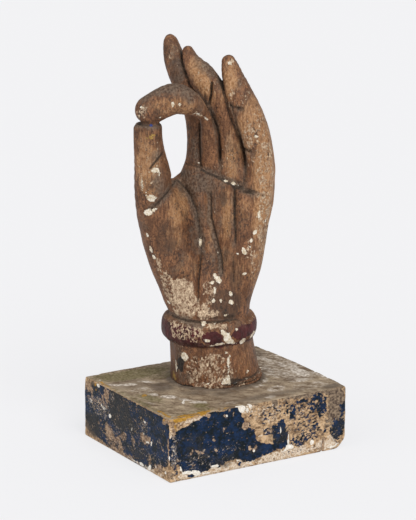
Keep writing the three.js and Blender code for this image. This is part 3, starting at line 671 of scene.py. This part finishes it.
# Where the blue lies on the wide face: its right edge by height, then its lower and its upper edge by x.
BLUE_RIGHT = [
    (0, 4), (8, 6), (10, 14), (12, 27), (18, 27), (19.5, 12), (21, 5), (23, 0), (26, -6), (31, -7),
    (37, -8), (42, -18), (46, -20), (50, -19), (53, -22), (58, -23), (63, -28),
]
BLUE_FOOT = [
    (-99, 18), (-92, 15), (-90, 9), (-74, 7.5), (-70, 4.5), (-62, 4), (-58, 8), (-48, 6), (-42, 9),
    (-35, 11), (-27, 10.5), (-20, 7.5), (-10, 5.5), (5, 9.5), (22, 12), (30, 15),
]
BLUE_HEAD = [(-100, 44), (-96, 50), (-90, 53), (-82, 54), (-74, 57), (-66, 59), (-60, 62), (-54, 66)]
# Wear of each face, in x and z on the wide one, y and z on the narrow one and x and y on the top, in rows
# like the hand's.
WIDE_BLUE = [
    (21, 24, 9.5, 11, 0.74), (22, 16, 9, 5, 0.74), (22, 35, 8, 5, 0.72), (0, 41.6, 3, 1.5, 0.95),
    (24, 40, 4, 2, 0.9), (35, 44, 2, 8, 0.85, -28), (46, 56, 9, 2.2, 0.85, 4), (66, 51, 11, 12, 0.62),
    (70, 44, 7, 9, 0.66), (62, 30, 5, 8, 0.55, 20), (90, 22, 8, 14, 0.68, -8), (95, 40, 4, 10, 0.62),
    (83, 20, 5, 5, 0.66), (44, 17, 12, 6, 0.56), (14, 33, 8, 5, 0.62, 20), (32, 8, 1.6, 1.2, 0.8, 20),
    (36, 3.6, 1.2, 1, 0.8), (46, 8.6, 2.4, 0.9, 0.7, -30), (55, 3, 1.6, 0.9, 0.7, 20),
    (61, 9, 1.2, 1.2, 0.7), (-80, 4, 6, 2.2, 0.7), (-25, 6.5, 2, 1, 1, 20), (-12, 52, 2, 9, 0.5, -25),
    (-12.5, 44, 1, 3, 0.9), (15, 50, 20, 10, 0.4), (50, 40, 16, 16, 0.44), (-98, 30, 6, 26, 0.55),
    (34, 32, 4, 4, 0.4), (58, 22, 18, 7, 0.46), (6, 33, 4, 5, 0.52), (30, 52, 8, 8, 0.45),
]
WIDE_SOOT = [
    (-78, 30, 24, 18, 0.44), (-46, 13, 36, 8, 0.44), (20, 27, 12, 11, 0.45), (-2, 16, 12, 7, 0.45),
    (90, 22, 9, 14, 0.45),
]
WIDE_BROWN = [
    (89, 44, 11, 22, 0.9), (60, 61.5, 46, 3.4, 0.9, -1), (16, 59.5, 4, 5, 1), (5, 57.5, 4, 1.4, 0.8),
    (3, 53.5, 4, 1.2, 0.8), (72.5, 14, 2, 17, 0.9, -12), (-6, 62, 8, 1.4, 0.6), (0, 0, 106, 1.3, 1),
    (-18, 60, 2, 4, 0.7), (80, 30, 7, 12, 0.6), (40, 20, 12, 9, 0.4), (-102, 8, 3, 5, 0.9),
    (26, 60, 8, 4, 0.5), (45, 31, 26, 9, 0.42), (58, 24, 8, 9, 0.5),
]
WIDE_GESSO = [
    (-50, 5, 56, 6, 0.62), (25, 5.5, 44, 6.5, 0.64, 2), (75, 7, 14, 7, 0.62), (82, 14, 7, 5, 0.7),
    (-14, 58, 8, 6, 0.48), (6, 50, 20, 11, 0.4), (2, 30, 7, 9, 0.35), (40, 44, 16, 10, 0.36),
    (-101, 46, 4, 14, 0.5), (-102, 20, 2, 22, 0.4), (-76, 58, 20, 4, 0.6, 6), (70, 30, 6, 3, 0.4),
]
WIDE_CHIPS = [
    (-22, 59.5, 4, 3, 1, -35), (-98, 28, 3, 16, 0.4), (-52, 8.4, 3, 1.4, 1), (10, 53, 16, 6, 0.34),
    (-22, 62.5, 4.4, 2.2, 1, -35), (-15.5, 57, 1.4, 2.6, 1), (-12, 61.5, 1.7, 2.4, 1, 20),
    (-7, 63, 2, 1, 1), (33, 12.3, 5, 2.4, 1, -8), (27, 10, 5, 1.6, 1, 20), (58, 12.4, 2.7, 2.6, 1),
    (31, 22, 0.9, 6, 0.9), (-84, 7.6, 5, 1.7, 1, -12), (-74, 5.5, 5, 2.2, 1, -20),
    (-91, 13, 1.4, 4, 0.9, 10), (-53, 8, 4, 1, 1, -12), (-64, 3.6, 5, 0.9, 0.9), (80, 3.6, 4, 1.2, 1, 8),
    (88, 5.5, 4, 1, 0.9, 30), (73, 19, 1, 7, 0.9, -12), (-39, 56, 1.6, 1.8, 0.8), (22, 32, 0.8, 4.5, 0.8),
    (-9, 15.5, 1.2, 1.2, 0.9), (-41.5, 13.5, 1, 1, 0.8), (-28, 9.5, 4, 1, 0.9), (-104, 33, 1.2, 9, 0.7),
]
WIDE_RUBBED = [
    (-18.5, 42.5, 3.8, 3.4, 1), (-53.5, 34, 1.1, 3, 0.7, 25), (-70.5, 25.5, 3.4, 0.9, 0.85, -20),
    (-30, 38, 30, 18, 0.14), (-78, 27, 4, 0.8, 0.6, 20), (-48, 22, 3, 1, 0.9, -30),
    (-71, 19.5, 1.4, 2, 0.7), (-13.5, 21, 1.2, 3.4, 0.9), (-7, 19, 1, 4, 0.9, -45), (-41, 56, 3, 3, 0.5),
    (-36, 60, 3, 3, 0.5), (-59, 60, 3, 3, 0.7), (-94, 21, 1.6, 1.6, 0.7), (-98, 52, 3, 9, 0.8),
    (-43, 43, 1.2, 3, 0.5), (-76, 14, 3, 1.4, 0.5), (10.5, 33, 1.2, 3, 0.9), (-58, 20, 34, 12, 0.2),
    (-60, 45, 34, 14, 0.12), (12, 13.5, 1, 1, 0.8),
]
WIDE_OCHRE = [
    (-92, 61, 9, 2.6, 0.9), (-76, 62, 14, 1.8, 0.8), (-56, 63, 14, 1.4, 0.6), (-96, 54, 3, 5, 0.6, 25),
]
NARROW_BLUE = [(0, 34, 92, 36, 0.7), (-62, 40, 24, 30, 0.8)]
NARROW_SOOT = [
    (14, 46, 22, 20, 0.95, 10), (66, 17, 16, 13, 0.95), (62, 57, 14, 6, 0.75), (-20, 13, 22, 8, 0.6),
    (-5, 40, 26, 9, 0.7, 12), (30, 50, 8, 9, 0.6), (-40, 20, 6, 7, 0.6), (-32, 58, 30, 7, 0.5),
]
NARROW_RUBBED = [
    (0, 32, 92, 34, 0.3), (39, 56, 5.5, 9, 0.62), (46, 52, 6, 2.4, 0.6), (74, 54, 9, 4.4, 0.62, 15),
    (-37.5, 31.5, 10, 5, 0.62, -5), (-14, 21, 5, 5, 0.56), (3, 22, 7, 5, 0.56), (-46, 15, 2.2, 14, 0.62),
    (33, 19, 10, 7, 0.62, 40), (22, 9, 20, 8, 0.55, 12), (-62, 9, 10, 5, 0.6, -10), (-65, 11, 5, 2, 0.7),
    (0, 3, 50, 3, 0.6), (-72, 29, 6, 2, 0.6, 10), (-81, 32, 2.4, 16, 0.7), (-78, 60.5, 12, 3, 1, -28),
    (16, 17, 7, 3.4, 0.6, 20), (55, 22, 5, 3.4, 0.55), (65, 43, 10, 4, 0.5), (45, 44, 10, 6, 0.5),
    (24, 25, 6, 2, 0.6), (50, 3.5, 20, 2, 0.6), (-84, 8, 4, 8, 0.8), (75, 5, 6, 3, 0.5),
    (24, 58, 4, 3, 0.4),
]
NARROW_GESSO = [
    (56, 40, 24, 9, 0.5), (56, 30, 24, 6, 0.4), (-38, 44, 10, 7, 0.42), (-8, 20, 28, 9, 0.36),
    (26, 56, 8, 7, 0.45), (-72, 26, 12, 22, 0.3), (-25, 34, 16, 10, 0.26), (-64, 52, 12, 10, 0.25),
    (20, 28, 20, 8, 0.34), (-34, 3, 30, 3, 0.8), (38, 55, 5, 8, 0.5), (-46, 20, 3, 14, 0.4),
]
NARROW_CHIPS = [
    (-26, 3.4, 30, 2, 0.5), (-49, 30, 1.6, 3, 0.7, 20), (70, 40, 3, 3, 0.5), (44, 40, 5, 2.4, 0.5),
    (31.6, 35, 2.6, 2.1, 1, -20), (48.6, 41.4, 2, 1.5, 0.9), (55, 60, 4.4, 1.8, 1, 10),
    (-11, 33, 1, 2.6, 0.8, 20), (-53, 55, 1.6, 1, 0.8), (-36, 48, 1.8, 1, 0.8), (-30, 4, 6, 1.5, 0.9),
    (-46, 5, 2, 3.2, 1, 20), (-76, 9, 1.8, 2.2, 0.9), (-57, 9, 1.4, 2, 0.8, -20),
    (-27, 16, 2.6, 1, 0.7, 20), (-41, 29, 3.4, 1, 0.8, -10), (21, 31, 2.6, 1, 0.7, 20),
    (-82, 26, 1, 4, 0.8), (34, 44, 2, 1, 0.6), (63, 41, 2, 1, 0.6), (-15, 19, 1.2, 2, 0.7),
    (-62, 60, 2.6, 1, 0.7, -60), (-34, 36, 1, 2, 0.6),
]
# where the blue has powdered away to specks of chalk and grey-blue
WIDE_POWDER = [
    (-55, 18, 48, 12, 0.36), (-20, 30, 14, 14, 0.24), (56, 38, 24, 20, 0.28), (-98, 30, 5, 22, 0.48),
    (40, 7, 36, 6, 0.4), (-60, 45, 40, 14, 0.24), (-90, 14, 12, 8, 0.36), (88, 24, 9, 14, 0.26),
]
NARROW_POWDER = [
    (54, 38, 26, 12, 0.44), (-37, 43, 12, 8, 0.42), (-10, 34, 18, 8, 0.34, 20), (-56, 24, 26, 18, 0.34),
    (28, 56, 10, 7, 0.36), (-14, 18, 24, 9, 0.34), (20, 24, 26, 8, 0.36), (-60, 50, 20, 10, 0.27),
    (-27, 17, 5, 4, 0.46), (62, 30, 16, 5, 0.4), (0, 34, 90, 34, 0.22),
]
NARROW_OCHRE = [(60.8, 60, 2.6, 2.2, 1), (-80, 62, 8, 1.4, 0.7, -20), (58, 54, 4, 1, 0.5)]
TOP_PALE = [
    (-92, 42, 8, 4, 0.9, -30), (-79, 35, 7, 3.4, 0.94, -26), (-60, 33, 10, 2.6, 0.8, -42),
    (-75, -6, 7, 5, 0.85, -50), (-66, -20, 9, 5, 0.9, -52), (-57, -36, 9, 4, 0.8, -50),
    (-50, -50, 9, 5, 0.85, -40), (83, 36, 2.6, 10, 0.95, 8), (85, 12, 4, 12, 0.75, -16),
    (93, 2, 6, 12, 0.66), (88, -18, 8, 16, 0.86, -8), (98, -34, 4, 14, 0.66), (80, 10, 30, 60, 0.46),
    (72, -36, 14, 12, 0.55), (40, -26, 12, 2.2, 0.7, 40), (22, -38, 12, 2.6, 0.62, 12),
    (36, -52, 14, 8, 0.52, 20), (-92, -30, 5, 12, 0.55, 20), (20, -70, 24, 5, 0.42), (70, -62, 24, 12, 0.4),
    (-28, -66, 20, 5, 0.45, -20), (-78, 10, 14, 12, 0.4),
]
# grey-brown patches of the top; the two beside the stub's right side, at x 62 and 70, are painted shadow
TOP_BROWN_AND_SHADE = [
    (-76, 36, 22, 22, 0.42), (-36, -24, 18, 10, 0.6, -30), (-14, -38, 20, 8, 0.7, -6),
    (-20, -52, 26, 10, 0.42, -6), (-56, 12, 14, 16, 0.7, -50), (10, -66, 70, 9, 0.55), (62, 12, 9, 22, 0.6),
    (70, -14, 6, 10, 0.5), (78, 62, 18, 20, 0.62), (88, -74, 16, 9, 0.66), (60, -36, 8, 6, 0.4),
]
TOP_OLIVE = [
    (-60, 62, 44, 17, 0.74), (-40, 48, 20, 16, 0.5, -30), (-88, 70, 14, 12, 0.6),
    (-84, -14, 9, 20, 0.66, 10), (-98, -20, 4, 60, 0.7), (-84, -52, 14, 16, 0.3), (-55, -60, 9, 8, 0.85),
    (-66, -72, 24, 5, 0.66), (48, -22, 8, 2.6, 0.54, 40), (-62, -40, 3, 3, 0.6),
]
TOP_OCHRE = [
    (-70, -78, 36, 3, 0.7), (-98, -66, 3, 16, 0.6), (-100, 40, 2.4, 26, 0.5), (-84, -3, 5, 2.6, 0.6, 60),
    (-93, 72, 5, 4, 0.3), (-100, 52, 3, 6, 0.7),
]
TOP_CHIPS = [
    (-24, -82, 5, 3.4, 1), (-13, -82, 2.4, 3, 1), (-63.5, -42, 1.4, 5, 0.9, -30), (-60, -38, 3, 1, 0.7, 40),
    (-97, 62, 1.4, 2, 0.8),
]


def block_surface(p):
    """Distance to the block, which is a little out of square, with rounded edges and a worn front foot."""
    x, y, z = p.T
    half_x, half_y = BLOCK_MM[0] / 2, BLOCK_MM[1] / 2
    rise = z / BLOCK_MM[2]
    from_hand = np.hypot(x - HAND_PLACE_MM[0], y - HAND_PLACE_MM[1])
    putty = PUTTY_MM * np.exp(-((from_hand - STUB_LIP_RADIUS_MM) / 4)**2)
    putty = putty * (1 + 0.5 * noise(p, (7, 7, 7), 28)) * (z > 40)
    left = -x - half_x + BLOCK_BATTER_MM[0] * rise
    bow = BLOCK_BOW_MM * (1 - np.cos((y - 8) / 92 * math.pi / 2))
    right = x - half_x + BLOCK_BATTER_MM[1] * (1 - rise) + bow
    front = -y - half_y + BLOCK_BATTER_MM[2] * rise
    level = np.maximum(-z, z - BLOCK_MM[2] - putty)
    sides = np.stack([np.maximum(left, right), np.maximum(front, y - half_y), level])
    q = sides + BLOCK_EDGE_MM
    d = np.linalg.norm(np.maximum(q, 0), axis=0) + np.minimum(q.max(0), 0) - BLOCK_EDGE_MM
    d = smooth_max(d, (right - z + 8) * 0.7, 5)
    off_crack = x - CRACK_AT_MM + 0.18 * (28 - z)
    crack = CRACK_MM * np.exp(-(off_crack / 0.9)**2) * unit((30 - z) / 8) * (y < -70)
    arris = unit(1 + np.sort(sides, axis=0)[1] / 6)
    knocks = KNOCK_MM * unit(noise(p, (8, 8, 8), 26) - 0.3) * arris * (z > 6)
    sawn = 0.25 * noise(p, (16, 16, 9), 21) * (z > 3) + 0.15 * noise(p, (4, 4, 3), 22)
    return d + crack + knocks + BLOCK_INSET_MM + sawn


block_points, block_quads = net_over(block_surface, *BLOCK_REACH_MM, BLOCK_CELL_MM)
block_out = slope(block_surface, block_points)
block_out /= np.linalg.norm(block_out, axis=1)[:, None]
bx, by, bz = block_points.T
block_wander = 1.5 * noise(block_points, (6, 6, 6), 23)
block_wander += 1.2 * noise(block_points, (2.3, 2.3, 2.3), 24)
# which face each point is on: 0 the wide one, 1 the narrow one, 2 the top, 3 one turned from view
toward = [-block_out[:, 1], -block_out[:, 0], block_out[:, 2], np.full(len(bx), 0.55)]
facing = np.argmax(toward, axis=0)
on_wide, on_top = facing == 0, facing == 2


def block_cover(wide, narrow, top, soft=4.0, rest=0.0, roam=1.0):
    """A wear layer of the block, face by face, with an even share on the faces turned from view."""
    roam = roam * block_wander
    sides = ((bx, bz, wide), (by, bz, narrow), (bx, by, top))
    return np.choose(facing, [cover(*side, soft, roam) for side in sides] + [np.full(len(bx), rest)])


inside_blue = np.minimum(np.interp(bz, *zip(*BLUE_RIGHT)) - bx, bz - np.interp(bx, *zip(*BLUE_FOOT)))
inside_blue = np.minimum(inside_blue, np.interp(bx, *zip(*BLUE_HEAD)) - bz) + 0.7 * block_wander
blue_sheet = np.where(on_wide, 0.76 * unit(0.5 + inside_blue / 2), 0)
# the faces turned from view are worn at the foot and in a few patches
foot = unit(1.5 - bz / 6 + 0.25 * block_wander)
bald = unit(3 * noise(block_points, (24, 24, 14), 30) - 0.7 + 0.3 * block_wander)
# painted shade in a ring on the top round the stub's foot
from_lip = np.abs(np.hypot(bx - HAND_PLACE_MM[0], by - HAND_PLACE_MM[1]) - STUB_LIP_RADIUS_MM)
shade_round_stub = on_top * unit(1.1 - (from_lip + block_wander) / 9)
turned_blue = 0.78 - 0.4 * bald - 0.6 * foot
block_layers = {
    "brown": block_cover(WIDE_BROWN, [(20, 8, 20, 8, 0.6)], [(0, 0, 200, 200, 0.5)], 4, 0.4),
    "gesso": block_cover(WIDE_GESSO, NARROW_GESSO, (), 5, 0.35 + 0.4 * foot),
    "blue": np.maximum(blue_sheet, block_cover(WIDE_BLUE, NARROW_BLUE, (), 3, turned_blue)),
    "powder": block_cover(WIDE_POWDER, NARROW_POWDER, (), 5, 0.28),
    "soot": block_cover(WIDE_SOOT, NARROW_SOOT, (), 8, 0.4),
    "rubbed": block_cover(WIDE_RUBBED, NARROW_RUBBED, (), 2.4, 0.26),
    "film": unit((block_out[:, 2] - 0.72) * 5 + 0.25 * block_wander),
    "umber_and_shade": np.maximum(block_cover((), (), TOP_BROWN_AND_SHADE, 12), shade_round_stub),
    "pale": block_cover((), (), TOP_PALE, 6),
    "olive": block_cover((), (), TOP_OLIVE, 9),
    "ochre": block_cover(WIDE_OCHRE, NARROW_OCHRE, TOP_OCHRE, 3),
    "chips": block_cover(WIDE_CHIPS, NARROW_CHIPS, TOP_CHIPS, 1.6, 0.0, 0.4),
    "brushed": 0.5 + 0.35 * noise(np.stack([bx / 6, (by + bz) / 9, (by - bz) / 2.6], 1), 1, 29),
    "streak": 0.5 + 0.3 * noise(np.stack([(bx + by) / 4, (bx - by) / 11, bz / 6], 1), 1, 25)
    + 0.25 * noise(block_points, (9, 9, 5), 27),
}
block = place_piece("timber_block", block_points, block_quads, 0, (0, 0, 0), block_layers)

# Distemper over a chalk ground on softwood: powdery dark blue, scratched through to cream and tan.
block_paint = bpy.data.materials.new("worn_blue_distemper")
block_paint.use_nodes = True
tree = block_paint.node_tree
# Flakes and brush marks are 2 to 3 mm wide and blooms of grease about 9 mm. The crazing of the chalk is
# about 0.5 mm, too fine to show, and is drawn 1.6 mm wide.
fine = mottles(tree, (2.8, 2.8, 2.1), 3)
small = mottles(tree, (1.6, 1.6, 1.3))
mid = mottles(tree, (9, 9, 8), 3)
daubs = add_node(tree, "Mix", {0: 0.45, 2: mid[0], 3: fine[2]}).outputs[0]
daubs = add_node(tree, "MapRange", {0: daubs, 1: 0.42, 2: 0.6, 3: 0.36, 4: 0.64}).outputs[0]
streak = add_node(tree, "Attribute", attribute_name="streak").outputs["Fac"]
top_tint = add_node(tree, "Mix", {0: 0.45, 2: streak, 3: fine[1]}).outputs[0]
brushed = add_node(tree, "Attribute", attribute_name="brushed").outputs["Fac"]
scraped = add_node(tree, "Mix", {0: 0.6, 2: brushed, 3: small[2]}).outputs[0]
powdered = add_node(tree, "Mix", {0: 0.5, 2: scraped, 3: fine[1]}).outputs[0]
scored = add_node(tree, "Mix", {0: 0.6, 2: mid[1], 3: fine[0]}).outputs[0]
scored = add_node(tree, "MapRange", {0: scored, 1: 0.4, 2: 0.6}).outputs[0]
tan = add_node(tree, "Mix", {0: scored, 6: paint("#735941"), 7: paint("#cfae88")}, data_type="RGBA")
ripple = add_node(tree, "Math", {0: fine[0], 1: 0.3}, operation="MULTIPLY").outputs[0]
block_coats = [
    # bare weathered wood
    ("brown", fine[1], ("#4c3e36", "#96826c"), fine[0], 0.8, -0.3, 0.3),
    # white chalk ground
    ("gesso", fine[2], ("#b89c7e", "#e4d6c3"), small[0], 0.85, 0.2, 0.2),
    # dark blue distemper, blacker where it has taken up grease
    ("blue", fine[1], ("#0a151b", "#122a4a"), daubs, 0.5, 0.25, 0.2),
    ("soot", mid[1], ("#1a1a1b", "#3a3937"), small[1], 0.55, 0, 0.6, 2.4, 0.85),
    # scratches and knocks down to the wood
    ("rubbed", scraped, ("#6a5444", "#bfa286"), fine[2], 0.8, -0.2, 0.2, 2.6),
    # chalk and faded blue left as powder in the brush marks
    ("powder", powdered, ("#36435c", "#c4b098"), small[0], 0.75, 0.1, 0.2, 3.2, 0.9),
    # dust and wax on the top, grey and smooth
    ("film", small[0], ("#75624e", "#b8a58c"), top_tint, 0.65, -0.1, 0.3, 1.2),
    # grey-brown patches, and painted shade round the stub's foot and on the top to its right
    ("umber_and_shade", top_tint, ("#453a31", "#74675c"), mid[2], 0.65, 0, 0.7, 1.6, 0.85),
    ("pale", top_tint, ("#a09080", "#e6dccf"), fine[0], 0.75, 0.1, 0.4, 2.2),
    ("olive", fine[0], ("#625836", "#857a58"), fine[1], 0.65, 0, 0.6, 2, 0.9),
    ("ochre", fine[2], ("#96702c", "#c4923a"), small[1], 0.6, 0.05, 0.3, 1.8),
    ("chips", small[2], ("#ded3c2", "#f6f1e8"), fine[0], 0.85, 0.35, 0.15, 1.2),
]
coat_piece(block, block_paint, (tan.outputs[2], 0.75, ripple), block_coats, 0.15)
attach(block, "root")
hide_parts("plinth")


# The studio: a seamless sweep of pale paper, lit from behind so that it reads as one even tone, under an
# even white sky of diffusers with two broad soft lamps. The camera is a long lens a little above the object.

SWEEP_HALF_M = 8
corners = [(x * SWEEP_HALF_M, y * SWEEP_HALF_M, 0) for x, y in ((-1, -1), (1, -1), (1, 1), (-1, 1))]
floor_mesh = bpy.data.meshes.new("paper_sweep")
floor_mesh.from_pydata(corners, [], [(0, 1, 2, 3)])
floor = add_object("paper_sweep", floor_mesh)
# Thin paper that glows with the light behind it, so a shadow on it stays faint.
sweep_paper = bpy.data.materials.new("backlit_pale_paper")
sweep_paper.use_nodes = True
paper_look = {
    "Base Color": (0.2, 0.2, 0.203, 1), "Roughness": 1.0, "Specular IOR Level": 0.0,
    "Emission Color": paint("#f2f2f4"), "Emission Strength": 0.795,
}
for socket, value in paper_look.items():
    sweep_paper.node_tree.nodes["Principled BSDF"].inputs[socket].default_value = value
floor_mesh.materials.append(sweep_paper)

world = bpy.data.worlds.new("studio")
world.use_nodes = True
world.node_tree.nodes["Background"].inputs["Color"].default_value = (1, 1, 1, 1)
world.node_tree.nodes["Background"].inputs["Strength"].default_value = 0.42
bpy.context.scene.world = world


def soft_sun(name, azimuth, elevation, spread, strength):
    """A distant lamp as broad as that spread, all in degrees; azimuth is turned as the camera's is."""
    light = bpy.data.lights.new(name, "SUN")
    light.angle = math.radians(spread)
    light.energy = strength
    lamp = add_object(name, light)
    lamp.rotation_euler = (math.pi / 2 - math.radians(elevation), 0, math.radians(azimuth))


soft_sun("key", -6, 46, 40, 1.8)
soft_sun("fill", -85, 32, 60, 0.55)

bpy.context.scene.view_settings.view_transform = "Standard"

AZIMUTH, ELEVATION = math.radians(-31.62), math.radians(14.32)
CAMERA_AIM_M = np.array([-0.0094, 0.0004, 0.1872])
CAMERA_AWAY_M = 2.2392
# the lens, fitted to the photograph, whose longer side is its height
PHOTO_HEIGHT_PX, PHOTO_FOCAL_PX = 520, 2300
SENSOR_MM = 36
back = np.array([math.sin(AZIMUTH) * math.cos(ELEVATION), -math.cos(AZIMUTH) * math.cos(ELEVATION),
                 math.sin(ELEVATION)])
lens = bpy.data.cameras.new("long_lens")
lens.lens = PHOTO_FOCAL_PX / PHOTO_HEIGHT_PX * SENSOR_MM
lens.sensor_width = SENSOR_MM
lens.clip_end = 50
camera = add_object("camera", lens)
camera.location = CAMERA_AIM_M + back * CAMERA_AWAY_M
camera.rotation_euler = (math.pi / 2 - ELEVATION, 0, AZIMUTH)
bpy.context.scene.camera = camera
